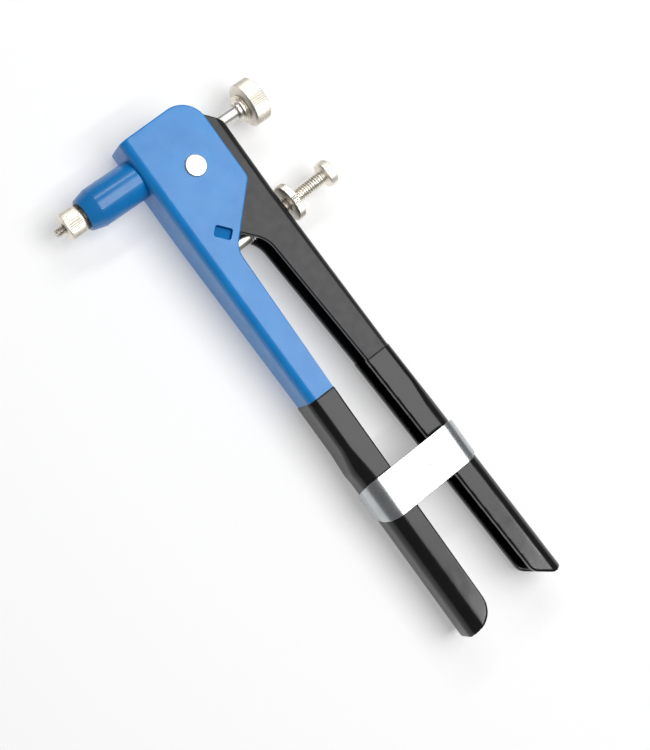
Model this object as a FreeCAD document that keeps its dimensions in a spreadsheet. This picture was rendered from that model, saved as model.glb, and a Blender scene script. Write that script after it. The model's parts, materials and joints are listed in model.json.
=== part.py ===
import FreeCAD, Part
import math
import os
import re
import Sketcher
from FreeCAD import Placement, Rotation, Vector

# Plier-type hand setter for threaded rivets, in millimetres.
# The origin is the centre of the nosepiece's front face. +X runs out of the nose along the
# draw axis, +Y runs down the handles and +Z is normal to the plane in which the handles move.

PIVOT_X, PIVOT_Y = -60.7, 10.5
OPEN_ANGLE = 25.0
# The trunnions sit as far behind the pivot when closed as they stand ahead of it when open.
BLOCK_X = PIVOT_X - PIVOT_Y * math.tan(math.radians(OPEN_ANGLE / 2))

DIMENSIONS = [
    ("pivot_x", PIVOT_X, "handle pivot, along the draw axis"),
    ("pivot_y", PIVOT_Y, "handle pivot, beside the draw axis"),
    ("pivot_r", 3.9, "pivot rivet shank radius"),
    ("rivet_head_r", 5.0, "pivot rivet head radius"),
    ("rivet_head_rise", 1.05, "pivot rivet head height"),
    ("fixed_sheet", 2.5, "fixed handle sheet thickness"),
    ("head_half", 12.9, "half the head's width across the flanges"),
    ("grip_half", 11.2, "half the fixed handle's width across the flanges"),
    ("web_x", -38.7, "outer face of the fixed handle's web at the head"),
    ("handle_web_x", -39.8, "outer face of that web above the grip's swell"),
    ("grip_web_x", -38.8, "outer face of that web below the swell"),
    ("bend_r", 4.4, "outer bend radius of the fixed handle"),
    ("bend_inner_r", 1.9, "inner bend radius of the fixed handle"),
    ("grip_bend_r", 7.4, "outer bend radius below the swell"),
    ("grip_bend_inner_r", 4.9, "inner bend radius below the swell"),
    ("head_top_y", -16.8, "top edge of the head at its rear corner"),
    ("head_top_fall", 1.3, "how much lower the top edge is at the web"),
    ("neck_start_y", 36.0, "where the fixed flanges start to close in"),
    ("swell_start_y", 143.0, "where the moving web starts to step out"),
    ("swell_end_y", 156.0, "where the moving web has stepped out"),
    ("bulge_start_y", 149.0, "where the fixed web starts to bulge"),
    ("bulge_y", 160.0, "fullest point of the fixed web's bulge"),
    ("bulge_end_y", 165.0, "where the fixed web is straight again"),
    ("bulge_x", -38.3, "outer face of the fixed web at its bulge"),
    ("fixed_end_y", 248.6, "end of the fixed handle's steel"),
    ("end_slant", 2.9, "how much shorter the fixed flanges' inner corners are"),
    ("head_back_x", -77.5, "rear edge of the head"),
    ("head_back_y", 27.2, "where the rear edge turns in"),
    ("fixed_edge_x", -54.2, "inner edge of the fixed flanges at the neck"),
    ("fixed_edge_y", 50.3, "where the slanted edge meets the inner edge"),
    ("fixed_edge_end_x", -52.2, "inner edge of the fixed flanges at the end"),
    ("stop_x", -53.1, "centre of the stop bar"),
    ("stop_y", 40.8, "centre of the stop bar"),
    ("stop_half_length", 3.8, "half the long side of the stop bar's section"),
    ("stop_half_width", 2.4, "half the short side of the stop bar's section"),
    ("stop_turn", 132.0, "direction of the section's long side, in degrees"),
    ("stop_play", 0.1, "stop bar hole over the bar"),
    ("stop_recess", 1.8, "stop bar end below the flange face"),
    ("stop_corner_r", 1.0, "corner radius of the stop bar"),
    ("barrel_r", 9.35, "nose barrel radius"),
    ("barrel_front_x", -10.0, "front face of the nose barrel"),
    ("barrel_front_r", 7.6, "front face radius of the nose barrel"),
    ("barrel_cone_x", -16.3, "end of the nose barrel's cone"),
    ("barrel_seat_r", 7.5, "barrel spigot through the web"),
    ("barrel_swage_r", 8.9, "swaged collar behind the web"),
    ("barrel_swage_x", -44.6, "rear face of the swaged collar"),
    ("barrel_bore_r", 4.7, "nose barrel bore"),
    ("nose_thread_r", 5.6, "nose barrel front thread radius"),
    ("nose_thread_x", -19.0, "bottom of the front thread"),
    ("nose_r", 6.45, "nosepiece radius"),
    ("nose_back_x", -9.0, "rear face of the knurled nosepiece"),
    ("nose_spigot_r", 5.5, "nosepiece thread radius"),
    ("nose_spigot_x", -17.5, "rear end of the nosepiece thread"),
    ("nose_bore_r", 2.15, "nosepiece front bore"),
    ("nose_counterbore_r", 4.2, "nosepiece rear counterbore"),
    ("mandrel_r", 2.05, "mandrel thread radius"),
    ("mandrel_tip_x", 4.3, "tip of the mandrel"),
    ("mandrel_neck_r", 1.6, "mandrel radius behind the working thread"),
    ("mandrel_flange_r", 3.6, "mandrel drive flange radius"),
    ("mandrel_root_r", 2.6, "mandrel rear thread radius"),
    ("rod_socket_x", -24.0, "front end of the draw rod"),
    ("rod_socket_r", 4.6, "draw rod front section radius"),
    ("rod_r", 3.2, "draw rod radius"),
    ("rod_end_x", -107.2, "rear end of the draw rod"),
    ("block_x", BLOCK_X, "centre of the pull block"),
    ("block_half", 6.0, "half the pull block's length"),
    ("block_side", 5.5, "half the pull block's height"),
    ("block_half_z", 5.9, "half the pull block's width"),
    ("block_bore_r", 3.28, "pull block bore"),
    ("trunnion_r", 3.0, "trunnion pin radius"),
    ("trunnion_inner_z", 3.6, "inner end of a trunnion pin"),
    ("trunnion_outer_z", 8.9, "outer end of a trunnion pin"),
    ("trunnion_hole_y", 0.12, "centre of the trunnion holes beside the draw axis"),
    ("trunnion_play", 0.2, "trunnion hole over the pin"),
    ("washer_r", 5.2, "thrust washer radius"),
    ("washer_length", 1.0, "thrust washer thickness"),
    ("thrust_gap", 0.05, "end play at each thrust washer"),
    ("collar_length", 3.5, "retaining collar length"),
    ("small_pin_r", 0.8, "collar pin radius"),
    ("knob_front_x", -99.0, "front face of the draw knob"),
    ("knob_back_x", -107.5, "rear face of the draw knob"),
    ("knob_r", 10.5, "draw knob radius"),
    ("knob_pin_r", 1.0, "knob pin radius"),
    ("moving_sheet", 2.8, "moving handle sheet thickness"),
    ("moving_half", 9.0, "half the moving handle's width across the flanges"),
    ("moving_web_x", -85.5, "outer face of the moving handle's web at the head"),
    ("moving_bend_r", 4.0, "outer bend radius of the moving handle"),
    ("moving_bend_inner_r", 1.2, "inner bend radius of the moving handle"),
    ("moving_grip_bend_r", 6.8, "outer bend radius below the swell"),
    ("moving_grip_bend_inner_r", 4.0, "inner bend radius below the swell"),
    ("moving_top_y", -7.6, "top edge of the moving flanges"),
    ("moving_bend_y", 38.0, "where the moving web starts to lean"),
    ("moving_end_y", 250.2, "end of the moving handle's steel"),
    ("moving_end_slant", 6.2, "how much shorter the moving flanges' inner corners are"),
    ("moving_edge_x", -74.0, "inner edge of the moving flanges at the grips"),
    ("moving_edge_end_x", -80.1, "inner edge of the moving flanges at the end"),
    ("moving_mid_x", -87.4, "outer face of the moving web at the grip's start"),
    ("moving_swell_x", -88.3, "outer face of the moving web where it steps out"),
    ("moving_grip_x", -89.8, "outer face of the moving web below the swell"),
    ("moving_end_x", -93.5, "outer face of the moving web at its end"),
    ("pivot_play", 0.08, "moving flange hole over the pivot rivet"),
    ("bush_r", 4.7, "pivot bush radius"),
    ("spacer_r", 8.0, "pivot spacer radius"),
    ("spacer_gap", 0.05, "play at each face of a pivot spacer"),
    ("screw_r", 3.5, "stop screw thread radius"),
    ("screw_play", 0.08, "threaded holes over the stop screw"),
    ("screw_tilt", 3.0, "stop screw tilt from the draw axis, in degrees"),
    ("screw_seat_x", -85.4, "stop screw axis at the web"),
    ("screw_seat_y", 46.9, "stop screw axis at the web"),
    ("screw_tip", -35.4, "stop screw tip, from the web along its axis"),
    ("screw_head_start", 25.6, "front face of the stop screw's head"),
    ("screw_head_end", 30.1, "rear face of the stop screw's head"),
    ("screw_head_r", 6.2, "stop screw head radius"),
    ("nut_start", 3.5, "front face of the lock nut"),
    ("nut_end", 7.5, "rear face of the lock nut"),
    ("nut_r", 9.15, "lock nut radius"),
    ("boss_r", 5.8, "threaded boss radius"),
    ("boss_start", -8.5, "inner end of the threaded boss"),
    ("coat", 0.4, "dipped grip thickness"),
    ("grip_start_y", 123.0, "start of both grips"),
    ("fixed_grip_end_y", 249.9, "end of the fixed grip"),
    ("moving_grip_end_y", 251.8, "end of the moving grip"),
    ("clip_y", 177.0, "centre of the handle clip"),
    ("clip_half", 10.15, "half the handle clip's width"),
    ("clip_tip_half", 6.1, "half the width of the clip's leg at its tip"),
    ("clip_taper_z", 13.0, "where the clip's leg and lip start to taper"),
    ("clip_sheet", 1.2, "handle clip sheet thickness"),
    ("clip_face_z", 13.2, "outer face of the handle clip"),
    ("clip_left_x", -36.9, "outer face of the clip's long leg"),
    ("clip_right_x", -91.25, "outer face of the clip's short lip"),
    ("clip_left_bend", 9.4, "outer bend radius at the clip's long leg"),
    ("clip_right_bend", 9.0, "outer bend radius at the clip's short lip"),
    ("clip_leg_tip_z", -4.0, "tip of the clip's long leg"),
    ("clip_lip_tip_z", 7.8, "tip of the clip's short lip"),
    ("dimple_r", 4.0, "pressed ring in the clip"),
]

doc = FreeCAD.newDocument("HandSetter")
sheet = doc.addObject("Spreadsheet::Sheet", "Dimensions")
CELLS = {}
for row, (alias, number, note) in enumerate(DIMENSIONS, 1):
    sheet.set(f"A{row}", note)
    sheet.set(f"B{row}", f"{number:.6g}")
    sheet.setAlias(f"B{row}", alias)
    CELLS[alias] = float(f"{number:.6g}")
doc.recompute()


# ---------------------------------------------------------------- expressions and sketches

def value(text):
    """The number that a sum of cells and plain numbers comes to, such as "web_x + 2"."""
    total, sign = 0.0, 1.0
    for word in text.split():
        if word in "+-":
            sign = 1.0 if word == "+" else -1.0
            continue
        name = word.lstrip("-")
        size = CELLS[name] if name in CELLS else float(name)
        total += sign * (-size if word.startswith("-") else size)
        sign = 1.0
    return total


def expression(text):
    """The same sum as an expression on the spreadsheet."""
    return re.sub(r"[a-z][a-z_]*[a-z]", lambda match: f"Dimensions.{match.group()}", text)


def minus(text):
    """The same sum with every sign turned round."""
    turned_round = text.replace(" + ", " ~ ").replace(" - ", " + ").replace(" ~ ", " - ")
    return turned_round[1:] if turned_round.startswith("-") else "-" + turned_round


def bind(item, **sums):
    """Ties properties of an object to sums of cells."""
    for name, text in sums.items():
        item.setExpression(name.replace("__", "."), expression(text))


def new_body(label):
    made = doc.addObject("PartDesign::Body", label)
    made.Label = label
    return made


def sketch_on(owner, name, role, offset=None):
    """A sketch flat on one of the body's own origin planes, moved along its normal."""
    drawing = owner.newObject("Sketcher::SketchObject", name)
    plane = next(f for f in owner.Origin.OriginFeatures if f.Role == role)
    drawing.AttachmentSupport = [(plane, "")]
    drawing.MapMode = "FlatFace"
    if offset is not None:
        drawing.setExpression("AttachmentOffset.Base.z", expression(offset))
    return drawing


def constrain(drawing, constraint, text):
    """Adds a dimension and ties it to its sum of cells."""
    index = drawing.addConstraint(constraint)
    if re.search(r"[a-z]", text):
        drawing.setExpression(f"Constraints[{index}]", expression(text))


def fix(drawing, geometry, end, x_text, y_text):
    """Holds a sketch point at sums of cells."""
    for kind, text, axis in (("DistanceX", x_text, -2), ("DistanceY", y_text, -1)):
        size = value(text)
        if abs(size) < 1e-9:
            drawing.addConstraint(Sketcher.Constraint("PointOnObject", geometry, end, axis))
        else:
            dimension = Sketcher.Constraint(kind, -1, 1, geometry, end, size)
            constrain(drawing, dimension, text)


def rounding(here, before, after, radius):
    """Where a corner's arc starts and ends, its centre, and whether it turns left."""
    to_before, to_after = (before - here).normalize(), (after - here).normalize()
    half = to_before.getAngle(to_after) / 2
    reach = radius / math.tan(half)
    centre = here + (to_before + to_after).normalize() * (radius / math.sin(half))
    left = to_before.cross(to_after).z < 0
    return here + to_before * reach, here + to_after * reach, centre, left


def outline(drawing, corners):
    """A closed outline through corners, each (x, y) or (x, y, rounding radius)."""
    points = [Vector(value(c[0]), value(c[1]), 0) for c in corners]
    count = len(corners)
    starts, ends, arcs = list(points), list(points), {}
    for i, corner in enumerate(corners):
        if len(corner) > 2:
            radius = value(corner[2])
            starts[i], ends[i], centre, left = rounding(
                points[i], points[i - 1], points[(i + 1) % count], radius)
            arcs[i] = (centre, left, radius)
    lines = [
        drawing.addGeometry(Part.LineSegment(ends[i], starts[(i + 1) % count]))
        for i in range(count)
    ]
    for i, corner in enumerate(corners):
        previous, following = lines[i - 1], lines[i]
        if i not in arcs:
            drawing.addConstraint(Sketcher.Constraint("Coincident", previous, 2, following, 1))
            fix(drawing, following, 1, corner[0], corner[1])
            continue
        centre, left, radius = arcs[i]
        first, last = (starts[i], ends[i]) if left else (ends[i], starts[i])
        angles = [math.atan2(p.y - centre.y, p.x - centre.x) for p in (first, last)]
        circle = Part.Circle(centre, Vector(0, 0, 1), radius)
        arc = drawing.addGeometry(Part.ArcOfCircle(circle, angles[0], angles[1]))
        near, far = (1, 2) if left else (2, 1)
        point = drawing.addGeometry(Part.Point(points[i]), True)
        drawing.addConstraint([
            Sketcher.Constraint("Tangent", previous, 2, arc, near),
            Sketcher.Constraint("Tangent", arc, far, following, 1),
            Sketcher.Constraint("PointOnObject", point, 1, previous),
            Sketcher.Constraint("PointOnObject", point, 1, following),
        ])
        constrain(drawing, Sketcher.Constraint("Radius", arc, radius), corner[2])
        fix(drawing, point, 1, corner[0], corner[1])


def disc(drawing, x_text, y_text, radius):
    """A circle whose centre and radius are sums of cells."""
    centre = Vector(value(x_text), value(y_text), 0)
    ring = drawing.addGeometry(Part.Circle(centre, Vector(0, 0, 1), value(radius)))
    fix(drawing, ring, 3, x_text, y_text)
    constrain(drawing, Sketcher.Constraint("Radius", ring, value(radius)), radius)


# ---------------------------------------------------------------- features

def pad(owner, drawing, length, both_ways=False):
    feature = owner.newObject("PartDesign::Pad", f"{owner.Name}_pad")
    feature.Profile = drawing
    feature.Midplane = both_ways
    bind(feature, Length=length)
    doc.recompute()
    return feature


def prism(label, role, corners, length, offset=None, both_ways=True, discs=()):
    """A plate with an outline and round holes, drawn on one of the origin planes."""
    made = new_body(label)
    drawing = sketch_on(made, f"{label}_outline", role, offset)
    outline(drawing, corners)
    for hole in discs:
        disc(drawing, *hole)
    pad(made, drawing, length, both_ways)
    return made


def turned(label, profile, cross_hole=None):
    """A part turned about X from (x, radius) corners, with an optional hole along Z."""
    made = new_body(label)
    drawing = sketch_on(made, f"{label}_profile", "XY_Plane")
    outline(drawing, profile)
    feature = made.newObject("PartDesign::Revolution", f"{label}_turning")
    feature.Profile = drawing
    feature.ReferenceAxis = (drawing, ["H_Axis"])
    feature.Angle = 360.0
    doc.recompute()
    if cross_hole:
        solid_volume = made.Shape.Volume
        drawing = sketch_on(made, f"{label}_cross_hole", "XY_Plane")
        disc(drawing, *cross_hole)
        hole = made.newObject("PartDesign::Pocket", f"{label}_hole")
        hole.Profile = drawing
        hole.Type = "ThroughAll"
        hole.Midplane = True
        doc.recompute()
        if made.Shape.Volume > solid_volume - 0.01:
            raise RuntimeError(f"{label}: the cross hole removed nothing")
    return made


def ring_profile(start, end, inner, outer):
    return [(start, inner), (start, outer), (end, outer), (end, inner)]


def cylinder(name, radius, height, base, axis=Vector(0, 0, 1)):
    """A cylinder bound to the sheet: base is three sums of cells, axis is a direction."""
    made = doc.addObject("Part::Cylinder", name)
    made.Placement = Placement(Vector(), Rotation(Vector(0, 0, 1), axis))
    bind(made, Radius=radius, Height=height, Placement__Base__x=base[0],
         Placement__Base__y=base[1], Placement__Base__z=base[2])
    doc.recompute()
    return made


def cut(label, base, *tools):
    for i, tool in enumerate(tools):
        volume = base.Shape.Volume
        made = doc.addObject("Part::Cut", label if i == len(tools) - 1 else f"{label}_cut")
        made.Base, made.Tool = base, tool
        doc.recompute()
        if made.Shape.Volume > volume - 0.01:
            raise RuntimeError(f"{label}: {tool.Name} cut nothing away")
        base = made
    base.Label = label
    return base


def common(label, first, second):
    made = doc.addObject("Part::MultiCommon", label)
    made.Shapes, made.Label = [first, second], label
    doc.recompute()
    return made


def group(label, *members):
    made = doc.addObject("Part::Compound", label)
    made.Links, made.Label = list(members), label
    doc.recompute()
    return made


def channel_section(owner, name, at_y, web, edge, half, sheet_size, bend, inner_bend):
    """A U section across the handles at one Y, from its open edge to its web."""
    inwards = minus(sheet_size) if value(web) > value(edge) else sheet_size
    inner_web, inner_half = f"{web} + {inwards}", f"{half} + {minus(sheet_size)}"
    drawing = sketch_on(owner, name, "XZ_Plane", minus(at_y))
    outline(drawing, [
        (edge, minus(half)), (web, minus(half), bend), (web, half, bend), (edge, half),
        (edge, inner_half), (inner_web, inner_half, inner_bend),
        (inner_web, minus(inner_half), inner_bend), (edge, minus(inner_half)),
    ])
    return drawing


def channel(label, sections):
    """A pressed channel lofted through its sections, still without its side outline."""
    made = new_body(label)
    drawings = [
        channel_section(made, f"{label}_section_{i}", *section)
        for i, section in enumerate(sections)
    ]
    for i, pair in enumerate(zip(drawings, drawings[1:])):
        feature = made.newObject("PartDesign::AdditiveLoft", f"{label}_loft_{i}")
        feature.Profile, feature.Sections, feature.Ruled = pair[0], [pair[1]], True
        doc.recompute()
    return made


def along_screw(item):
    """Lays a part turned about X on the stop screw's axis, pointing away from the handle."""
    item.Placement = Placement(Vector(), Rotation(Vector(0, 0, 1), 180 + CELLS["screw_tilt"]))
    bind(item, Placement__Base__x="screw_seat_x", Placement__Base__y="screw_seat_y")
    doc.recompute()
    return item


# ---------------------------------------------------------------- fixed handle and head

BEYOND = "3"       # how far trimming plates and channel blanks run past what they trim
DEPTH = "60"       # thickness of the plates that trim the channels

fixed_sections = [
    (y, web, "head_back_x - " + BEYOND, half, "fixed_sheet", bend, inner_bend)
    for y, web, half, bend, inner_bend in (
        ("head_top_y - " + BEYOND, "web_x", "head_half", "bend_r", "bend_inner_r"),
        ("neck_start_y", "web_x", "head_half", "bend_r", "bend_inner_r"),
        ("grip_start_y", "handle_web_x", "grip_half", "bend_r", "bend_inner_r"),
        ("bulge_start_y", "handle_web_x", "grip_half", "bend_r", "bend_inner_r"),
        ("bulge_y", "bulge_x", "grip_half", "grip_bend_r", "grip_bend_inner_r"),
        ("bulge_end_y", "grip_web_x", "grip_half", "grip_bend_r", "grip_bend_inner_r"),
        ("fixed_end_y + " + BEYOND, "grip_web_x", "grip_half", "grip_bend_r",
         "grip_bend_inner_r"),
    )
]
fixed_blank = channel("fixed_blank", fixed_sections)
fixed_plate = prism("fixed_plate", "XY_Plane", [
    ("web_x + " + BEYOND, "head_top_y + head_top_fall"),
    ("head_back_x", "head_top_y", "12"),
    ("head_back_x", "head_back_y", "4"),
    ("fixed_edge_x", "fixed_edge_y", "11"),
    ("fixed_edge_end_x", "fixed_end_y - end_slant", "11.5"),
    ("web_x + " + BEYOND, "fixed_end_y + 1"),
], DEPTH, discs=[("pivot_x", "pivot_y", "pivot_r")])


def stop_bar_prism(label, play, length):
    """The stop bar's section, grown by some play and turned to face the moving flanges."""
    half_length, half_width = "stop_half_length + " + play, "stop_half_width + " + play
    made = prism(label, "XY_Plane", [
        (minus(half_length), minus(half_width), "stop_corner_r"),
        (half_length, minus(half_width), "stop_corner_r"),
        (half_length, half_width, "stop_corner_r"),
        (minus(half_length), half_width, "stop_corner_r"),
    ], length)
    made.Placement = Placement(Vector(), Rotation(Vector(0, 0, 1), CELLS["stop_turn"]))
    bind(made, Placement__Base__x="stop_x", Placement__Base__y="stop_y")
    doc.recompute()
    return made


barrel_hole = cylinder("barrel_hole", "barrel_seat_r", "10", ("web_x - 5", "0", "0"),
                       Vector(1, 0, 0))
fixed_channel = cut("fixed_channel", common("fixed_trimmed", fixed_blank, fixed_plate),
                    barrel_hole, stop_bar_prism("stop_bar_hole", "stop_play", DEPTH))
stop_bar = stop_bar_prism(
    "stop_bar", "0", "head_half - stop_recess + head_half - stop_recess")

nose_barrel = turned("nose_barrel", [
    ("barrel_front_x", "nose_thread_r"),
    ("barrel_front_x", "barrel_front_r - 0.3"),
    ("barrel_front_x - 0.3", "barrel_front_r"),
    ("barrel_cone_x", "barrel_r", "1.5"),
    ("web_x", "barrel_r"),
    ("web_x", "barrel_seat_r"),
    ("web_x - fixed_sheet", "barrel_seat_r"),
    ("web_x - fixed_sheet", "barrel_swage_r"),
    ("barrel_swage_x", "barrel_swage_r - 0.8"),
    ("barrel_swage_x", "barrel_bore_r"),
    ("nose_thread_x", "barrel_bore_r"),
    ("nose_thread_x", "nose_thread_r"),
])
nose_washer = turned("nose_washer", ring_profile(
    "nose_back_x - 0.05", "barrel_front_x", "nose_thread_r", "nose_thread_r + 0.55"))

head_top = "head_half + rivet_head_rise"
pivot_pin = turned("pivot_pin", [
    (minus(head_top), "0"), (minus(head_top), "rivet_head_r - 0.5"),
    ("-head_half - 0.6", "rivet_head_r"), ("-head_half", "rivet_head_r"),
    ("-head_half", "pivot_r"), ("head_half", "pivot_r"),
    ("head_half", "rivet_head_r"), ("head_half + 0.6", "rivet_head_r"),
    (head_top, "rivet_head_r - 0.5"), (head_top, "0"),
])
pivot_pin.Placement = Placement(Vector(), Rotation(Vector(1, 0, 0), Vector(0, 0, 1)))
bind(pivot_pin, Placement__Base__x="pivot_x", Placement__Base__y="pivot_y")

# ---------------------------------------------------------------- nosepiece and mandrel

nosepiece = turned("nosepiece", [
    ("0", "nose_bore_r"),
    ("0", "nose_r - 0.4"),
    ("-0.4", "nose_r"),
    ("nose_back_x + 0.9", "nose_r"),
    ("nose_back_x", "nose_r - 0.9"),
    ("nose_back_x", "nose_spigot_r"),
    ("nose_spigot_x + 0.6", "nose_spigot_r"),
    ("nose_spigot_x", "nose_spigot_r - 0.6"),
    ("nose_spigot_x", "nose_counterbore_r"),
    ("-3", "nose_counterbore_r"),
    ("-3", "nose_bore_r"),
])
mandrel = turned("mandrel", [
    ("mandrel_tip_x", "0"),
    ("mandrel_tip_x", "mandrel_r - 0.4"),
    ("mandrel_tip_x - 0.4", "mandrel_r"),
    ("0", "mandrel_r"),
    ("0", "mandrel_neck_r"),
    ("rod_socket_x + 4", "mandrel_neck_r"),
    ("rod_socket_x + 4", "mandrel_flange_r"),
    ("rod_socket_x + 0.1", "mandrel_flange_r"),
    ("rod_socket_x + 0.1", "mandrel_root_r"),
    ("rod_socket_x - 14", "mandrel_root_r"),
    ("rod_socket_x - 14", "0"),
])

# ---------------------------------------------------------------- draw rod and knob

shoulder_x = "block_x + block_half + washer_length + thrust_gap + thrust_gap"
collar_x = "block_x - block_half - washer_length - thrust_gap - thrust_gap"
collar_pin_x = collar_x + " - 1.75"
knob_pin_x = "knob_front_x - 4.2"
draw_rod_turned = turned("draw_rod_turned", [
    ("rod_socket_x", "mandrel_root_r"),
    ("rod_socket_x", "rod_socket_r"),
    (shoulder_x, "rod_socket_r"),
    (shoulder_x, "rod_r"),
    ("rod_end_x + 0.4", "rod_r"),
    ("rod_end_x", "rod_r - 0.4"),
    ("rod_end_x", "0"),
    ("rod_socket_x - 15", "0"),
    ("rod_socket_x - 15", "mandrel_root_r"),
], cross_hole=(collar_pin_x, "0", "small_pin_r"))
knob_pin_hole = cylinder("knob_pin_hole", "knob_pin_r", "30", (knob_pin_x, "0", "-15"))
draw_rod = cut("draw_rod", draw_rod_turned, knob_pin_hole)

retaining_collar = turned("retaining_collar", [
    (collar_x, "rod_r"),
    (collar_x, "washer_r - 0.3"),
    (collar_x + " - 0.3", "washer_r"),
    (collar_x + " - collar_length + 0.3", "washer_r"),
    (collar_x + " - collar_length", "washer_r - 0.3"),
    (collar_x + " - collar_length", "rod_r"),
], cross_hole=(collar_pin_x, "0", "small_pin_r"))
collar_pin = cylinder("collar_pin", "small_pin_r", "washer_r + washer_r - 0.4",
                      (collar_pin_x, "0", "-washer_r + 0.2"))

knob_collar = turned("knob_collar", [
    ("knob_front_x + 4.1", "rod_r"),
    ("knob_front_x + 4.1", "4.2"),
    ("knob_front_x + 3.8", "4.5"),
    ("knob_front_x + 2.6", "4.5"),
    ("knob_front_x + 2.6", "6.0"),
    ("knob_front_x + 2.4", "6.2"),
    ("knob_front_x + 1.7", "6.2"),
    ("knob_front_x + 1.5", "5.3"),
    ("knob_front_x + 1.1", "5.3"),
    ("knob_front_x + 0.9", "6.0"),
    ("knob_front_x + 0.5", "6.0"),
    ("knob_front_x + 0.3", "5.3"),
    ("knob_front_x", "5.3"),
    ("knob_front_x", "rod_r"),
])
draw_knob = turned("draw_knob", [
    ("knob_front_x", "rod_r"),
    ("knob_front_x", "knob_r - 0.6"),
    ("knob_front_x - 0.6", "knob_r"),
    ("knob_back_x + 0.6", "knob_r"),
    ("knob_back_x", "knob_r - 0.6"),
    ("knob_back_x", "rod_r + 0.4"),
    ("knob_back_x + 0.4", "rod_r"),
], cross_hole=(knob_pin_x, "0", "knob_pin_r"))
knob_pin = cylinder("knob_pin", "knob_pin_r", "knob_r + knob_r - 1.2",
                    (knob_pin_x, "0", "-knob_r + 0.6"))

# ---------------------------------------------------------------- pull block

block_blank = prism("block_blank", "XY_Plane", [
    ("block_x - block_half", "-block_side", "0.8"),
    ("block_x + block_half", "-block_side", "0.8"),
    ("block_x + block_half", "block_side", "0.8"),
    ("block_x - block_half", "block_side", "0.8"),
], "block_half_z + block_half_z")
block_bore = cylinder("block_bore", "block_bore_r", "20", ("block_x - 10", "0", "0"),
                      Vector(1, 0, 0))
PIN_LENGTH = "trunnion_outer_z - trunnion_inner_z"
trunnion_places = [("block_x", "0", "trunnion_inner_z"), ("block_x", "0", "-trunnion_outer_z")]
trunnion_holes = [
    cylinder(f"trunnion_hole_{i}", "trunnion_r", PIN_LENGTH, place)
    for i, place in enumerate(trunnion_places)
]
pull_block = cut("pull_block", block_blank, block_bore, *trunnion_holes)
trunnion_pins = group("trunnion_pins", *[
    cylinder(f"trunnion_pin_{i}", "trunnion_r", PIN_LENGTH, place)
    for i, place in enumerate(trunnion_places)
])
thrust_washers = group("thrust_washers", *[
    turned(f"thrust_washer_{i}", ring_profile(near, far, "block_bore_r", "washer_r"))
    for i, (near, far) in enumerate([
        ("block_x + block_half + thrust_gap + washer_length", "block_x + block_half + thrust_gap"),
        ("block_x - block_half - thrust_gap", "block_x - block_half - thrust_gap - washer_length"),
    ])
])

# ---------------------------------------------------------------- moving handle

moving_sections = [
    (y, web, "web_x", "moving_half", "moving_sheet", bend, inner_bend)
    for y, web, bend, inner_bend in (
        ("moving_top_y - " + BEYOND, "moving_web_x", "moving_bend_r", "moving_bend_inner_r"),
        ("moving_bend_y", "moving_web_x", "moving_bend_r", "moving_bend_inner_r"),
        ("grip_start_y", "moving_mid_x", "moving_bend_r", "moving_bend_inner_r"),
        ("swell_start_y", "moving_swell_x", "moving_bend_r", "moving_bend_inner_r"),
        ("swell_end_y", "moving_grip_x", "moving_grip_bend_r", "moving_grip_bend_inner_r"),
        ("moving_end_y + " + BEYOND, "moving_end_x", "moving_grip_bend_r",
         "moving_grip_bend_inner_r"),
    )
]
moving_blank = channel("moving_blank", moving_sections)
moving_plate = prism("moving_plate", "XY_Plane", [
    ("moving_end_x - " + BEYOND, "moving_top_y + 7.8"),
    ("moving_web_x + 0.8", "moving_top_y + 7.8", "1"),
    ("moving_web_x + 7.9", "moving_top_y", "3"),
    ("stop_x + 1.2", "moving_top_y", "6"),
    ("stop_x + 1.2", "stop_y - 5.4", "3"),
    ("stop_x - 16.3", "stop_y + 13.4", "14"),
    ("moving_edge_x", "grip_start_y"),
    ("moving_edge_end_x", "moving_end_y - moving_end_slant", "4.5"),
    ("moving_end_x + 5", "moving_end_y + 0.6", "4"),
    ("moving_end_x - " + BEYOND, "moving_end_y"),
], DEPTH, discs=[
    ("pivot_x", "pivot_y", "pivot_r + pivot_play"),
    ("block_x", "trunnion_hole_y", "trunnion_r + trunnion_play"),
])
rod_slot = prism("rod_slot", "YZ_Plane", [
    ("moving_top_y - 2", "-rod_r - 0.8"), ("moving_top_y + 23.2", "-rod_r - 0.8", "3.9"),
    ("moving_top_y + 23.2", "rod_r + 0.8", "3.9"), ("moving_top_y - 2", "rod_r + 0.8"),
], "20", offset="moving_web_x")
screw_hole = turned("screw_hole", [
    ("-10", "0"), ("-10", "screw_r + screw_play"), ("10", "screw_r + screw_play"), ("10", "0"),
])
along_screw(screw_hole)
moving_channel = cut("moving_channel", common("moving_trimmed", moving_blank, moving_plate),
                     rod_slot, screw_hole)

boss_blank = along_screw(turned("boss_blank", [
    ("boss_start", "screw_r + screw_play"), ("boss_start", "boss_r - 0.5"),
    ("boss_start + 0.5", "boss_r"), ("-1", "boss_r"), ("-1", "screw_r + screw_play"),
]))
stop_boss = cut("stop_boss", boss_blank, moving_channel)
pivot_bush = turned("pivot_bush", ring_profile(
    "-moving_half + moving_sheet", "moving_half - moving_sheet",
    "pivot_r + pivot_play", "bush_r"))
pivot_bush.Placement = Placement(Vector(), Rotation(Vector(1, 0, 0), Vector(0, 0, 1)))
bind(pivot_bush, Placement__Base__x="pivot_x", Placement__Base__y="pivot_y")
spacer_inner_z = "moving_half + spacer_gap"
spacer_outer_z = "head_half - fixed_sheet - spacer_gap"
spacers = []
for i, (low, high) in enumerate([(spacer_inner_z, spacer_outer_z),
                                 (minus(spacer_outer_z), minus(spacer_inner_z))]):
    spacer = turned(f"pivot_spacer_{i}", ring_profile(low, high, "pivot_r + pivot_play", "spacer_r"))
    spacer.Placement = Placement(Vector(), Rotation(Vector(1, 0, 0), Vector(0, 0, 1)))
    bind(spacer, Placement__Base__x="pivot_x", Placement__Base__y="pivot_y")
    spacers.append(spacer)
pivot_spacers = group("pivot_spacers", *spacers)

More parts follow.
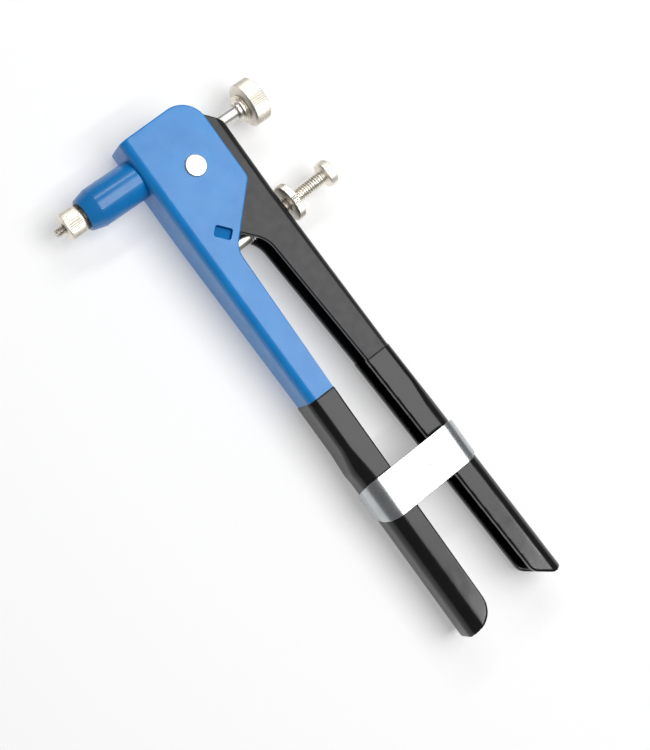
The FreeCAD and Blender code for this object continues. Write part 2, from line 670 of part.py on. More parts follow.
# ---------------------------------------------------------------- stop screw and lock nut

stop_screw = along_screw(turned("stop_screw", [
    ("screw_tip", "0"),
    ("screw_tip", "screw_r - 0.7"),
    ("screw_tip + 0.7", "screw_r"),
    ("screw_head_start - 1.2", "screw_r"),
    ("screw_head_start - 1.2", "screw_r - 0.5"),
    ("screw_head_start", "screw_r - 0.5"),
    ("screw_head_start", "screw_head_r - 0.4"),
    ("screw_head_start + 0.4", "screw_head_r"),
    ("screw_head_end - 0.4", "screw_head_r"),
    ("screw_head_end", "screw_head_r - 0.4"),
    ("screw_head_end", "0"),
]))
lock_nut = along_screw(turned("lock_nut", [
    ("nut_start", "screw_r + screw_play"),
    ("nut_start", "nut_r - 0.5"),
    ("nut_start + 0.5", "nut_r"),
    ("nut_end - 0.5", "nut_r"),
    ("nut_end", "nut_r - 0.5"),
    ("nut_end", "screw_r + screw_play"),
]))

# ---------------------------------------------------------------- dipped grips


def grip(label, channel_part, sections, corners):
    """A coat over the end of a channel: a fatter channel, less the steel inside it."""
    blank = channel(f"{label}_blank", sections)
    plate = prism(f"{label}_plate", "XY_Plane", corners, DEPTH)
    return cut(label, common(f"{label}_trimmed", blank, plate), channel_part)


def coated(sections):
    """Channel sections grown by the coat all round."""
    grown = []
    for y, web, edge, half, sheet_size, bend, inner_bend in sections:
        outward = " + coat" if value(web) > value(edge) else " - coat"
        grown.append((y, web + outward, edge, half + " + coat", sheet_size + " + coat + coat",
                      bend + " + coat", inner_bend + " - coat"))
    return grown


fixed_grip = grip("fixed_grip", fixed_channel, coated(fixed_sections[2:]), [
    ("web_x + " + BEYOND, "grip_start_y"),
    ("fixed_edge_x + 0.6", "grip_start_y"),
    ("fixed_edge_end_x - coat", "fixed_grip_end_y - end_slant", "11"),
    ("web_x + " + BEYOND, "fixed_grip_end_y + 1.7"),
])
moving_grip = grip("moving_grip", moving_channel, coated(moving_sections[2:]), [
    ("moving_end_x - " + BEYOND, "grip_start_y"),
    ("moving_end_x - " + BEYOND, "moving_grip_end_y + 0.2"),
    ("moving_end_x + 5", "moving_grip_end_y + 0.8", "5"),
    ("moving_edge_end_x + coat", "moving_grip_end_y - moving_end_slant", "5.5"),
    ("moving_edge_x + coat", "grip_start_y"),
])

# ---------------------------------------------------------------- handle clip

clip_strip = prism("clip_strip", "XZ_Plane", [
    ("clip_left_x", "clip_leg_tip_z"),
    ("clip_left_x", "clip_face_z", "clip_left_bend"),
    ("clip_right_x", "clip_face_z", "clip_right_bend"),
    ("clip_right_x", "clip_face_z - clip_right_bend - 0.3"),
    ("clip_right_x + clip_sheet", "clip_face_z - clip_right_bend - 0.3"),
    ("clip_right_x + clip_sheet", "clip_face_z - clip_sheet", "clip_right_bend - clip_sheet"),
    ("clip_left_x - clip_sheet", "clip_face_z - clip_sheet", "clip_left_bend - clip_sheet"),
    ("clip_left_x - clip_sheet", "clip_leg_tip_z"),
], "clip_half + clip_half", offset="-clip_y")
clip_taper = prism("clip_taper", "YZ_Plane", [
    ("clip_y - clip_half", "clip_face_z + 1"),
    ("clip_y - clip_half", "clip_taper_z"),
    ("clip_y - clip_tip_half", "clip_leg_tip_z", "1.5"),
    ("clip_y + clip_tip_half", "clip_leg_tip_z", "1.5"),
    ("clip_y + clip_half", "clip_taper_z"),
    ("clip_y + clip_half", "clip_face_z + 1"),
], "400")
lip_relief = prism("lip_relief", "XZ_Plane", [
    ("clip_right_x - 2", "clip_leg_tip_z"), ("clip_right_x + 12", "clip_leg_tip_z"),
    ("clip_right_x + 12", "clip_lip_tip_z"), ("clip_right_x - 2", "clip_lip_tip_z"),
], "60", offset="-clip_y")
dimple = doc.addObject("Part::Torus", "dimple")
bind(dimple, Radius1="dimple_r", Placement__Base__z="clip_face_z", Placement__Base__y="clip_y")
dimple.Radius2 = 0.22
dimple.setExpression("Placement.Base.x", "(Dimensions.clip_left_x + Dimensions.clip_right_x) / 2")
doc.recompute()
handle_clip = cut("handle_clip", common("clip_trimmed", clip_strip, clip_taper),
                  lip_relief, dimple)

# ---------------------------------------------------------------- output

NODES = [
    fixed_channel, stop_bar, nose_barrel, nose_washer, pivot_pin, fixed_grip,
    nosepiece, mandrel, draw_rod, retaining_collar, collar_pin, knob_collar, draw_knob,
    knob_pin, pull_block, trunnion_pins, thrust_washers, moving_channel, stop_boss,
    pivot_bush, pivot_spacers, moving_grip, stop_screw, lock_nut, handle_clip,
]

doc.recompute()
for item in doc.Objects:
    if {"Invalid", "Error"} & set(item.State):
        raise RuntimeError(f"{item.Label} failed: {item.State}")
os.makedirs("parts", exist_ok=True)
for node in NODES:
    shape = node.Shape
    if shape.isNull() or not shape.isValid() or not shape.Solids:
        raise RuntimeError(f"{node.Label} has no valid solid")
    shape.exportStep(f"parts/{node.Label}.step")
    print(f"{node.Label:18s} {len(shape.Solids)} solid(s) {shape.Volume:9.1f} mm3")
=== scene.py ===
"""Looks of the hand setter for threaded rivets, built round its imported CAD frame.

Lengths below are in millimetres until they become vertices. The frame's +X runs out of the
nose, +Y down the handles and +Z out of the plane in which the handles move.
"""

import json
import math

import bmesh
import bpy
from mathutils import Matrix, Vector
from mathutils.bvhtree import BVHTree

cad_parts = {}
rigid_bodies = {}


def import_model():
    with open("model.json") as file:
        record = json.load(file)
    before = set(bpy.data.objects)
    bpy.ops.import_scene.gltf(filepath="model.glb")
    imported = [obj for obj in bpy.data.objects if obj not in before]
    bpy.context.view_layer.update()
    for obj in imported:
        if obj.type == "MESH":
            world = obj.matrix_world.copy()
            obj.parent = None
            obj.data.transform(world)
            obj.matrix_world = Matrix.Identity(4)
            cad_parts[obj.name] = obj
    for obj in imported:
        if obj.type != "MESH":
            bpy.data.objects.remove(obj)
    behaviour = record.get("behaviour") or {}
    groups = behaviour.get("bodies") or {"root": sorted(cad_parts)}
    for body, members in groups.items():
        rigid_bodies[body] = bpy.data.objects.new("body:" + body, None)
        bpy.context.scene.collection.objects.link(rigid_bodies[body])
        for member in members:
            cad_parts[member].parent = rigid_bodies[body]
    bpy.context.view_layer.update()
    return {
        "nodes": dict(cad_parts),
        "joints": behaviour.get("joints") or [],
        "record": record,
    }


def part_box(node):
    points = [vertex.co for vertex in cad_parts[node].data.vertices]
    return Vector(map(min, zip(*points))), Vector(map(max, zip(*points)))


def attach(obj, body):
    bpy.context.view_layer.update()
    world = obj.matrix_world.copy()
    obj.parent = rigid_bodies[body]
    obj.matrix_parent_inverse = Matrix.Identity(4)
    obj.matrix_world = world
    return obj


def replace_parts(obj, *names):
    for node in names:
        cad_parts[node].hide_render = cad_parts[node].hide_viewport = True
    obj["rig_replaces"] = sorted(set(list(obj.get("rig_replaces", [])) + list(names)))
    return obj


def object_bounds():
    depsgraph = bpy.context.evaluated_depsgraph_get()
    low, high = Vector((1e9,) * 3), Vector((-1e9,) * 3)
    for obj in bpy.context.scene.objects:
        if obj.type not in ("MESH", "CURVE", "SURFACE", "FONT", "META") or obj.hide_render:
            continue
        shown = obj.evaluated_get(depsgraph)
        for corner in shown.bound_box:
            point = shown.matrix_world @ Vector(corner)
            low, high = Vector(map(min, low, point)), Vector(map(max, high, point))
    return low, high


MM = 0.001
TURN = 2 * math.pi

# Camera: where it looks from, seen from the middle of the tool, and which way is right.
VIEW_FROM = Vector((0.30175, -0.08770, 0.94935))
VIEW_RIGHT = Vector((-0.75779, 0.58218, 0.29464))
VIEW_TARGET = Vector((-56.77, 118.06, 0.0)) * MM
VIEW_DISTANCE = 0.7029
LENS = 75.7

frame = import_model()
nodes = frame["nodes"]


def limits(node):
    """Lowest and highest corner of a CAD node, in millimetres."""
    low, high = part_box(node)
    return low / MM, high / MM


def centre(node):
    low, high = limits(node)
    return (low + high) / 2


def outer_radius(node, axis):
    """Largest radius of a turned node whose axis is one of the frame's axes."""
    low, high = limits(node)
    across = [i for i in range(3) if i != axis]
    return max(high[i] - low[i] for i in across) / 2


# ---------------------------------------------------------------- materials

class Nodes:
    """A material's node tree with short calls to add and join nodes."""

    def __init__(self, name):
        self.material = bpy.data.materials.new(name)
        self.material.use_nodes = True
        self.tree = self.material.node_tree
        self.shader = self.tree.nodes["Principled BSDF"]
        self.place = self.add("ShaderNodeTexCoord").outputs["Object"]

    def add(self, kind, **settings):
        node = self.tree.nodes.new(kind)
        for key, setting in settings.items():
            if key in node.inputs:
                node.inputs[key].default_value = setting
            else:
                setattr(node, key, setting)
        return node

    def join(self, source, target):
        self.tree.links.new(source, target)

    def stretched(self, scale, turn=(0, 0, 0)):
        """Object coordinates scaled unevenly, for grain that runs one way."""
        mapping = self.add("ShaderNodeMapping")
        mapping.inputs["Scale"].default_value = scale
        mapping.inputs["Rotation"].default_value = turn
        self.join(self.place, mapping.inputs["Vector"])
        return mapping.outputs["Vector"]

    def noise(self, size, detail=2.0, roughness=0.5, place=None):
        """Noise whose lumps are about size millimetres across."""
        texture = self.add("ShaderNodeTexNoise", Scale=1 / (size * MM), Detail=detail,
                           Roughness=roughness)
        self.join(place or self.place, texture.inputs["Vector"])
        return texture.outputs["Fac"]

    def spread(self, source, low, high, start=0.3, end=0.7):
        """Maps start..end of a factor onto low..high."""
        node = self.add("ShaderNodeMapRange")
        ends = {"From Min": start, "From Max": end, "To Min": low, "To Max": high}
        for key, number in ends.items():
            node.inputs[key].default_value = number
        self.join(source, node.inputs["Value"])
        return node.outputs["Result"]

    def mix(self, factor, first, second):
        """A colour between two colours, either of which may be a socket."""
        node = self.add("ShaderNodeMix", data_type="RGBA")
        for socket, colour in ((node.inputs[6], first), (node.inputs[7], second)):
            if isinstance(colour, bpy.types.NodeSocket):
                self.join(colour, socket)
            else:
                socket.default_value = (*colour, 1)
        self.join(factor, node.inputs[0])
        return node.outputs[2]

    def bump(self, height, depth, before=None):
        """Bump of about depth millimetres, on top of an earlier bump if there is one."""
        node = self.add("ShaderNodeBump", Strength=1.0, Distance=depth * MM)
        self.join(height, node.inputs["Height"])
        if before is not None:
            self.join(before, node.inputs["Normal"])
        return node.outputs["Normal"]

    def finish(self, colour, roughness, normal=None, **plain):
        """Joins colour, roughness and normal to the shader and sets its plain sockets."""
        for name, given in (("Base Color", colour), ("Roughness", roughness), ("Normal", normal)):
            if isinstance(given, bpy.types.NodeSocket):
                self.join(given, self.shader.inputs[name])
            elif given is not None:
                self.shader.inputs[name].default_value = given
        for name, number in plain.items():
            self.shader.inputs[name.replace("_", " ")].default_value = number
        return self.material


def blue_paint(name, peel, gloss, coat=0.3, shine=0.43, depth=1.0):
    """Enamel over steel with a little drift in its colour, which depth scales as a whole.
    peel is the height of its orange peel in millimetres, gloss its lowest and highest
    roughness, coat the weight of the clear coat and shine its specular level."""
    n = Nodes(name)
    drift = n.spread(n.noise(14.0, 3.0), 0, 1, 0.35, 0.65)
    deep, pale, speck = (
        tuple(depth * part for part in colour)
        for colour in ((0.0006, 0.195, 0.560), (0.002, 0.225, 0.615), (0.004, 0.255, 0.660)))
    colour = n.mix(drift, deep, pale)
    specks = n.spread(n.noise(0.5, 1.0), 0, 1, 0.62, 0.75)
    colour = n.mix(specks, colour, speck)
    roughness = n.spread(n.noise(6.0, 3.0), *gloss)
    skin = n.bump(n.noise(1.5, 1.5), peel)
    skin = n.bump(n.noise(7.0, 1.0), peel * 1.6, skin)
    return n.finish(colour, roughness, skin, Coat_Weight=coat, Coat_Roughness=gloss[0] * 0.6,
                    Specular_IOR_Level=shine)


def black_paint():
    """Semi-gloss black paint with a fine powder grain."""
    n = Nodes("black_enamel")
    drift = n.spread(n.noise(11.0, 3.0), 0, 1)
    colour = n.mix(drift, (0.0045, 0.0045, 0.0055), (0.008, 0.0078, 0.009))
    roughness = n.spread(n.noise(4.0, 3.0), 0.33, 0.41)
    grain = n.bump(n.noise(0.45, 2.0), 0.010)
    grain = n.bump(n.noise(5.0, 1.0), 0.05, grain)
    return n.finish(colour, roughness, grain, Coat_Weight=0.1, Coat_Roughness=0.2,
                    Specular_IOR_Level=0.36)


def vinyl():
    """Dipped vinyl: black, glossy, with slow ripples where it ran before it set."""
    n = Nodes("dipped_vinyl")
    drift = n.spread(n.noise(9.0, 2.0), 0, 1)
    colour = n.mix(drift, (0.0035, 0.0035, 0.0035), (0.006, 0.0058, 0.0052))
    roughness = n.spread(n.noise(7.0, 3.0), 0.15, 0.21)
    runs = n.noise(6.0, 1.5, place=n.stretched((1.0, 0.35, 1.0)))
    ripple = n.bump(runs, 0.11)
    ripple = n.bump(n.noise(0.8, 2.0), 0.006, ripple)
    return n.finish(colour, roughness, ripple, Specular_IOR_Level=0.38)


def nickel(name, gloss):
    """Nickel plate over machined steel, slightly cloudy.
    gloss is its lowest and highest roughness."""
    n = Nodes(name)
    cloud = n.spread(n.noise(2.5, 4.0), 0, 1)
    colour = n.mix(cloud, (0.87, 0.81, 0.71), (0.94, 0.89, 0.80))
    specks = n.spread(n.noise(0.4, 2.0), 0, 1, 0.66, 0.74)
    colour = n.mix(specks, colour, (0.70, 0.65, 0.56))
    roughness = n.spread(n.noise(1.6, 3.0), *gloss)
    tooth = n.bump(n.noise(0.3, 2.0), 0.0008)
    return n.finish(colour, roughness, tooth, Metallic=1.0)


def mandrel_steel():
    """Darker hardened steel with oil in its threads."""
    n = Nodes("mandrel_steel")
    cloud = n.spread(n.noise(1.0, 4.0), 0, 1)
    colour = n.mix(cloud, (0.48, 0.45, 0.40), (0.66, 0.63, 0.57))
    roughness = n.spread(n.noise(0.8, 2.0), 0.26, 0.36)
    return n.finish(colour, roughness, n.bump(n.noise(0.2, 2.0), 0.0015), Metallic=1.0)


def turned_steel():
    """Bare turned steel: fine tool marks round the X axis."""
    n = Nodes("turned_steel")
    marks = n.noise(0.8, 3.0, place=n.stretched((1.0, 0.04, 0.04)))
    colour = n.mix(n.spread(n.noise(4.0, 3.0), 0, 1), (0.70, 0.69, 0.66), (0.82, 0.81, 0.78))
    return n.finish(colour, n.spread(marks, 0.30, 0.38), n.bump(marks, 0.0002), Metallic=1.0)


def black_oxide():
    """Blackened washer steel, dull brown where it rubs."""
    n = Nodes("black_oxide")
    rub = n.spread(n.noise(1.5, 4.0), 0, 1, 0.5, 0.75)
    colour = n.mix(rub, (0.075, 0.064, 0.054), (0.20, 0.165, 0.13))
    return n.finish(colour, n.spread(n.noise(0.7, 2.0), 0.35, 0.55), Metallic=0.8)


def bush_bronze():
    """Porous bearing bronze."""
    n = Nodes("bush_bronze")
    pores = n.spread(n.noise(0.3, 2.0), 0, 1, 0.55, 0.7)
    colour = n.mix(pores, (0.62, 0.45, 0.24), (0.30, 0.20, 0.11))
    return n.finish(colour, 0.38, n.bump(pores, 0.01), Metallic=1.0)


def zinc_sheet():
    """Bright zinc plate on rolled strip: faint rolling lines along the strip and soft clouds."""
    n = Nodes("zinc_sheet")
    lines = n.noise(0.5, 3.0, place=n.stretched((0.02, 1.0, 0.3)))
    cloud = n.spread(n.noise(5.0, 4.0), 0, 1)
    colour = n.mix(cloud, (0.45, 0.475, 0.485), (0.52, 0.54, 0.545))
    roughness = n.spread(lines, 0.25, 0.30)
    return n.finish(colour, roughness, n.bump(lines, 0.0004), Metallic=1.0)


MATERIALS = {
    "blue_paint": blue_paint("blue_enamel", 0.030, (0.30, 0.40)),
    "black_paint": black_paint(),
    "vinyl": vinyl(),
    "nickel": nickel("nickel_plate", (0.30, 0.40)),
    "mandrel_steel": mandrel_steel(),
    "steel": turned_steel(),
    "black_oxide": black_oxide(),
    "bush_bronze": bush_bronze(),
    "zinc_sheet": zinc_sheet(),
}
# The barrel's enamel is the handle's blue darkened by depth 0.80: painted shade on the round
# barrel, with finer peel and gloss of its own.
SMOOTH_SHADED_BLUE = blue_paint("blue_enamel_smooth_painted_shade", 0.006, (0.27, 0.33), 0.25, depth=0.80)
# The stop bar's end sits in a recess: depth 0.72 darkens its enamel as painted shade; its low
# sheen comes from coat and specular, not colour.
DULL_SHADED_BLUE = blue_paint("blue_enamel_dull_painted_shade", 0.02, (0.55, 0.65), 0.0, 0.10, depth=0.72)
SATIN_NICKEL = nickel("nickel_satin", (0.44, 0.54))
SLOTS = {row["node"]: row["material_slot"] for row in frame["record"]["subparts"]}
BODIES = {
    node: body
    for body, members in frame["record"]["behaviour"]["bodies"].items()
    for node in members
}


# ---------------------------------------------------------------- making pieces

WELD = 0.03          # corners of a CAD mesh closer than this are one, in millimetres
SKIN_WELD = 0.002    # the same for a grip's thin skin
FLAT_ANGLE = 0.6     # faces that turn less than this, in degrees, become one
EDGE_ANGLE = 26      # an edge that turns more than this, in degrees, is rounded
TOUCHING = 0.06      # skin closer to the steel than this, in millimetres, is hidden
KNURL_SHARP = 40     # angle in degrees above which a knurled piece is shaded sharp
PLAIN_SHARP = 50     # the same for rods and collars
TURNED_SHARP = 60    # the same for painted and crowned pieces
THREAD_SHARP = 70    # the same for the stop screw


def shown(name, mesh, node, material=None):
    """Puts a mesh in the scene in place of a CAD node, on its body and in its finish."""
    piece = bpy.data.objects.new(name, mesh)
    bpy.context.scene.collection.objects.link(piece)
    mesh.materials.append(material or MATERIALS[SLOTS[node]])
    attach(piece, BODIES[node])
    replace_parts(piece, node)
    return piece


def smooth(mesh, sharp):
    """Shades a mesh smooth except at edges that turn more than an angle in degrees."""
    mesh.shade_smooth()
    mesh.set_sharp_from_angle(angle=math.radians(sharp))


def softened(name, node, width, segments=3, finer=None, material=None):
    """A copy of a CAD node with its sharp edges rounded to a width in millimetres.
    finer gives, for the middle of an edge in millimetres, the share of the width it gets."""
    form = bmesh.new()
    form.from_mesh(nodes[node].data)
    bmesh.ops.remove_doubles(form, verts=form.verts, dist=WELD * MM)
    bmesh.ops.dissolve_degenerate(form, edges=form.edges, dist=WELD * MM)
    bmesh.ops.dissolve_limit(form, angle_limit=math.radians(FLAT_ANGLE), verts=form.verts,
                             edges=form.edges)
    mesh = bpy.data.meshes.new(name)
    points = [v.co.copy() for v in form.verts]
    form.verts.index_update()
    faces = [[v.index for v in face.verts] for face in form.faces]
    mesh.from_pydata(points, [], faces)
    form.free()

    weights = bmesh.new()
    weights.from_mesh(mesh)
    layer = weights.edges.layers.float.new("bevel_weight_edge")
    for edge in weights.edges:
        if len(edge.link_faces) == 2 and edge.calc_face_angle(0) > math.radians(EDGE_ANGLE):
            middle = (edge.verts[0].co + edge.verts[1].co) / 2 / MM
            edge[layer] = finer(middle) if finer else 1.0
    weights.to_mesh(mesh)
    weights.free()
    mesh.shade_smooth()
    piece = shown(name, mesh, node, material)
    bevel = piece.modifiers.new("rounded_edges", "BEVEL")
    bevel.limit_method = "WEIGHT"
    bevel.width = width * MM
    bevel.segments = segments
    bevel.use_clamp_overlap = False
    piece.modifiers.new("flat_faces", "WEIGHTED_NORMAL")
    return piece


def dipped(name, node, steel, grain, passes):
    """A grip as one drawn skin: its CAD copy closed over the steel inside, meshed evenly in
    grain-sized cells and smoothed over a number of passes."""
    form = bmesh.new()
    form.from_mesh(nodes[node].data)
    bmesh.ops.remove_doubles(form, verts=form.verts, dist=SKIN_WELD * MM)
    inside = bmesh.new()
    inside.from_mesh(nodes[steel].data)
    surface = BVHTree.FromBMesh(inside)
    inside.free()
    hidden = [
        face for face in form.faces
        if surface.find_nearest(face.calc_center_median())[3] < TOUCHING * MM
    ]
    bmesh.ops.delete(form, geom=hidden, context="FACES")
    rim = [edge for edge in form.edges if edge.is_boundary]
    bmesh.ops.triangle_fill(form, edges=rim, use_beauty=True, use_dissolve=False)
    bmesh.ops.recalc_face_normals(form, faces=form.faces)
    mesh = bpy.data.meshes.new(name)
    form.to_mesh(mesh)
    form.free()
    piece = shown(name, mesh, node)
    skin = piece.modifiers.new("one_skin", "REMESH")
    skin.mode = "VOXEL"
    skin.voxel_size = grain * MM
    skin.use_smooth_shade = True
    drawn = piece.modifiers.new("drawn_smooth", "SMOOTH")
    drawn.factor = 0.5
    drawn.iterations = passes
    return piece


def rounded(corners, fillet):
    """(along, radius) corners with each inner corner eased over a fillet."""
    points = [Vector(corner) for corner in corners]
    eased = [points[0]]
    for before, here, after in zip(points, points[1:], points[2:]):
        back, on = before - here, after - here
        reach = min(fillet, back.length * 0.45, on.length * 0.45)
        start, end = here + back.normalized() * reach, here + on.normalized() * reach
        eased += [start, start * 0.45 + here * 0.40 + end * 0.15,
                  start * 0.15 + here * 0.40 + end * 0.45, end]
    return eased + [points[-1]]


def divided(rows, step, start, end):
    """Extra rows between start and end along the axis, no further apart than step."""
    result = [rows[0]]
    for before, here in zip(rows, rows[1:]):
        low, high = sorted((before.x, here.x))
        if high > start and low < end:
            count = max(1, math.ceil((here - before).length / step))
            result += [before.lerp(here, i / count) for i in range(1, count)]
        result.append(here)
    return result


def spun(name, node, rows, place, columns=96, relief=None,
         sharp=TURNED_SHARP, material=None):
    """A solid turned about place's X axis through (along, radius) rows.
    relief(along, radius, turn) is how far a point moves outwards, turn going from 0 to 1."""
    form = bmesh.new()
    rings = []
    for along, radius in rows:
        if radius < 1e-6:
            rings.append([form.verts.new(place @ (Vector((along, 0, 0)) * MM))])
            continue
        ring = []
        for i in range(columns):
            turn = i / columns
            reach = radius + (relief(along, radius, turn) if relief else 0.0)
            point = Vector((along, reach * math.cos(TURN * turn), reach * math.sin(TURN * turn)))
            ring.append(form.verts.new(place @ (point * MM)))
        rings.append(ring)
    pairs = list(zip(rings, rings[1:]))
    if len(rings[0]) > 1:
        pairs.append((rings[-1], rings[0]))
    for near, far in pairs:
        for i in range(columns):
            j = (i + 1) % columns
            corners = [near[i % len(near)], near[j % len(near)],
                       far[j % len(far)], far[i % len(far)]]
            form.faces.new(list(dict.fromkeys(corners)))
    bmesh.ops.recalc_face_normals(form, faces=form.faces)
    mesh = bpy.data.meshes.new(name)
    form.to_mesh(mesh)
    form.free()
    smooth(mesh, sharp)
    return shown(name, mesh, node, material)


def fade(along, start, end, length):
    """1 inside start..end, falling to 0 over a length at both ends."""
    return max(0.0, min(1.0, (along - start) / length, (end - along) / length))


def knurl(teeth, depth, start, end, above, length=0.35):
    """Straight teeth cut into the rim between start and end, where the radius is over above."""
    def relief(along, radius, turn):
        if radius < above:
            return 0.0
        tooth = abs((turn * teeth) % 1 * 2 - 1)
        return -depth * tooth * fade(along, start, end, length)
    return relief


def thread(pitch, depth, start, end, above, length=0.6):
    """A helical groove between start and end, where the radius is over above."""
    def relief(along, radius, turn):
        if radius < above:
            return 0.0
        wave = 0.5 - 0.5 * math.cos(TURN * (along / pitch - turn))
        return -depth * wave ** 0.8 * fade(along, start, end, length)
    return relief


# ---------------------------------------------------------------- nose

ALONG_X = Matrix.Identity(4)


def nosepiece():
    """Round nosepiece: straight-knurled rim, chamfered back, threaded spigot, bore through."""
    low, high = limits("nosepiece")
    radius, bore, counterbore, spigot = outer_radius("nosepiece", 0), 2.15, 4.2, 5.5
    back, front = -9.0, high.x
    corners = [
        (-3.0, bore), (front, bore), (front, radius - 0.35), (front - 0.35, radius),
        (back + 1.0, radius), (back, radius - 0.95), (back, spigot), (low.x + 0.6, spigot),
        (low.x, spigot - 0.6), (low.x, counterbore), (-3.0, counterbore),
    ]
    rows = divided(rounded(corners, 0.22), 0.125, low.x, back)
    rows = divided(rows, 0.5, back + 1.0, front)
    rim = knurl(44, 0.20, back + 0.9, front - 0.3, radius - 0.5, 0.4)
    screw = thread(1.0, 0.55, low.x, back - 0.4, counterbore + 0.4)

    def relief(along, radius_here, turn):
        return rim(along, radius_here, turn) if along > back else screw(along, radius_here, turn)
    spun("nose_tip", "nosepiece", rows, ALONG_X, 176, relief, sharp=KNURL_SHARP,
         material=SATIN_NICKEL)


def mandrel():
    """Mandrel with its M4 working thread standing out of the nose."""
    low, high = limits("mandrel")
    radius, neck, flange, root = 2.05, 1.6, 3.6, 2.6
    corners = [
        (high.x, 0), (high.x, radius - 0.45), (high.x - 0.45, radius), (0.0, radius), (0.0, neck),
        (low.x + 18.0, neck), (low.x + 18.0, flange), (low.x + 14.1, flange),
        (low.x + 14.1, root), (low.x, root), (low.x, 0),
    ]
    rows = divided(rounded(corners, 0.15), 0.07, 0.0, high.x)
    spun("mandrel_tip", "mandrel", rows, ALONG_X, 64,
         thread(0.7, 0.36, -0.3, high.x + 0.4, neck + 0.05, 0.4), sharp=PLAIN_SHARP)


def barrel():
    """Painted nose barrel with its cone, and the swaged collar behind the web."""
    low, high = limits("nose_barrel")
    radius = outer_radius("nose_barrel", 0)
    web, front_r, seat, swage, bore, thread_r = -38.7, 7.6, 7.5, 8.9, 4.7, 5.6
    corners = [
        (-19.0, thread_r), (high.x, thread_r), (high.x, front_r), (-16.3, radius), (web, radius),
        (web, seat), (web - 2.5, seat), (web - 2.5, swage), (low.x, swage - 0.8),
        (low.x, bore), (-19.0, bore),
    ]
    rows = rounded(corners, 0.45)
    # Its darker blue is painted shade.
    spun("barrel_painted", "nose_barrel", rows, ALONG_X, 160, material=SMOOTH_SHADED_BLUE)


def rivet():
    """Pivot rivet: two low pressed heads on a shank, crowned a little."""
    high = limits("pivot_pin")[1]
    head, shank, face = outer_radius("pivot_pin", 2), 3.9, high.z - 1.05
    crown = 0.22
    half = [
        (high.z, 0), (high.z - crown * 0.25, head * 0.5), (high.z - crown, head - 0.35),
        (high.z - crown - 0.35, head), (face, head), (face, shank),
    ]
    corners = half + [(-along, radius) for along, radius in reversed(half)]
    place = Matrix.Translation(centre("pivot_pin") * MM) @ Matrix.Rotation(-TURN / 4, 4, "Y")
    spun("pivot_rivet", "pivot_pin", rounded(corners, 0.25), place, 96)


# ---------------------------------------------------------------- draw rod and knob

def draw_rod():
    """Bright turned rod with its wider socket, seen between the head and the knob."""
    low, high = limits("draw_rod")
    wide, root, thin = outer_radius("draw_rod", 0), 2.6, 3.2
    shoulder = limits("thrust_washers")[1].x + 0.05
    socket = high.x - 15.0
    corners = [
        (socket, 0), (socket, root), (high.x, root), (high.x, wide), (shoulder, wide),
        (shoulder, thin), (low.x, thin), (low.x, 0),
    ]
    spun("rod_turned", "draw_rod", rounded(corners, 0.3), ALONG_X, 96, sharp=PLAIN_SHARP)


def draw_knob():
    """Knob with a straight-knurled rim between two chamfers and a recessed back face."""
    low, high = limits("draw_knob")
    radius, bore = outer_radius("draw_knob", 0), 3.2
    recess = radius - 2.4
    corners = [
        (low.x + 0.5, bore), (high.x, bore), (high.x, radius - 0.9), (high.x - 0.7, radius),
        (low.x + 0.7, radius), (low.x, radius - 0.9), (low.x, recess), (low.x + 0.5, recess - 0.5),
    ]
    rows = divided(rounded(corners, 0.2), 1.0, low.x + 0.7, high.x - 0.7)
    spun("knob_knurled", "draw_knob", rows, ALONG_X, 288,
         knurl(72, 0.22, low.x + 0.25, high.x - 0.25, radius - 0.5, 0.6), sharp=KNURL_SHARP,
         material=SATIN_NICKEL)


def knob_collar():
    """Stepped collar in front of the knob, grooved between its two rings."""
    low, high = limits("knob_collar")
    bore = 3.2
    steps = [(4.1, 4.5), (2.6, 4.5), (2.6, 6.2), (1.6, 6.2), (1.6, 5.3), (1.0, 5.3), (1.0, 6.0),
             (0.3, 6.0), (0.3, 5.3), (0.0, 5.3)]
    corners = [(low.x, bore), (high.x, bore)]
    corners += [(low.x + along, radius) for along, radius in steps]
    spun("collar_stepped", "knob_collar", rounded(corners, 0.25), ALONG_X, 96, sharp=PLAIN_SHARP)


# ---------------------------------------------------------------- stop screw and lock nut

def screw_place(node, along):
    """A frame whose X axis is the stop screw's and whose origin is at the handle's web.
    along is where the middle of the node lies on that axis."""
    joint = next(j for j in frame["joints"] if j["name"] == "stop_screw_travel")
    axis = Vector(joint["axis"]).normalized()
    side = Vector((0, 0, 1)).cross(axis)
    turn = Matrix((axis, side, (0, 0, 1))).transposed().to_4x4()
    return Matrix.Translation((centre(node) - axis * along) * MM) @ turn


def stop_screw():
    """Long knurled-head screw with a thread along its shank and a plain point."""
    tip, neck, head_front, head_back = -35.4, 24.4, 25.6, 30.1
    shank, head, plain = 3.5, 6.2, 14.6
    corners = [
        (tip, 0), (tip, shank - 0.8), (tip + 0.8, shank), (tip + plain, shank), (neck, shank),
        (neck, shank - 0.6),
        (head_front, shank - 0.6), (head_front, head - 0.5), (head_front + 0.5, head),
        (head_back - 0.5, head), (head_back, head - 0.5), (head_back, 0),
    ]
    rows = divided(rounded(corners, 0.2), 0.16, tip + plain, neck)
    groove = thread(1.25, 0.42, tip + 15.0, neck, shank - 0.4)
    rim = knurl(44, 0.20, head_front + 0.2, head_back - 0.2, head - 0.4, 0.5)

    def relief(along, radius, turn):
        return rim(along, radius, turn) if along > neck else groove(along, radius, turn)
    spun("screw_threaded", "stop_screw", rows, SCREW_AXIS, 176, relief, sharp=THREAD_SHARP)


